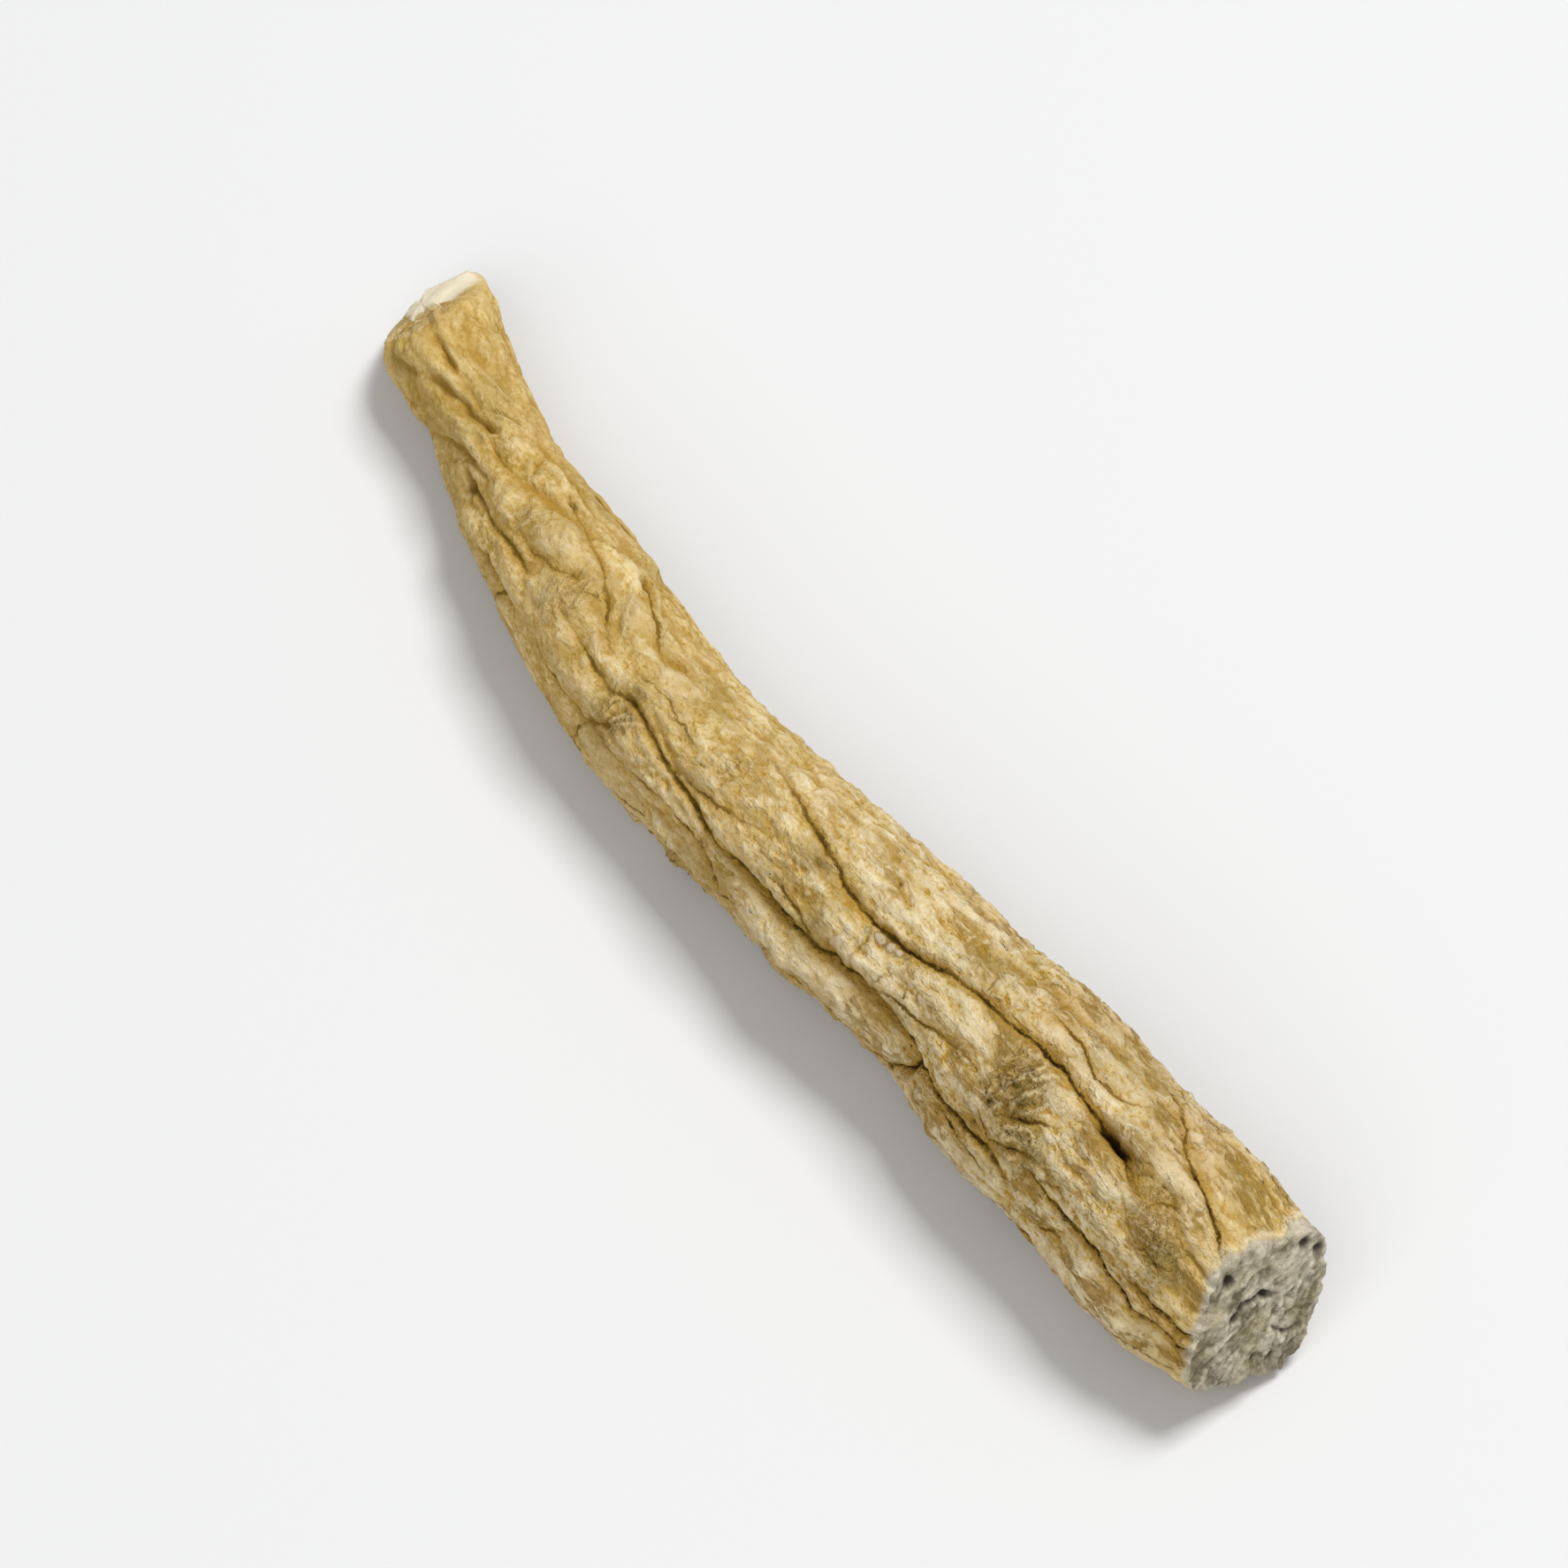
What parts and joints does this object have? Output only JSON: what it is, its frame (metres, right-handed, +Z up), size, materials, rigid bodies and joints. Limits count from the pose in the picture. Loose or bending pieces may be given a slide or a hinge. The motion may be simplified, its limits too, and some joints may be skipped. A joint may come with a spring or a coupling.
{
  "type": "cut codonopsis root",
  "caption": "Cut length of dried root with wrinkled, creased skin, slightly bent and tapered, sliced steeply at the thin end and nearly square at the thick end, lying on its side.",
  "frame": {"origin": "centre of the bounding box in plan, at the level of the surface that the root lies on", "axes": "+X along the root from its thin end to its thick end, +Z up"},
  "size_m": [0.0672, 0.0116, 0.0087],
  "materials": {
    "dried_root": "matt dried root skin, wrinkled and creased, with chalky pale flesh on both cut ends"
  },
  "bodies": {
    "root": {"codonopsis_root": "dried_root"}
  },
  "joints": []
}
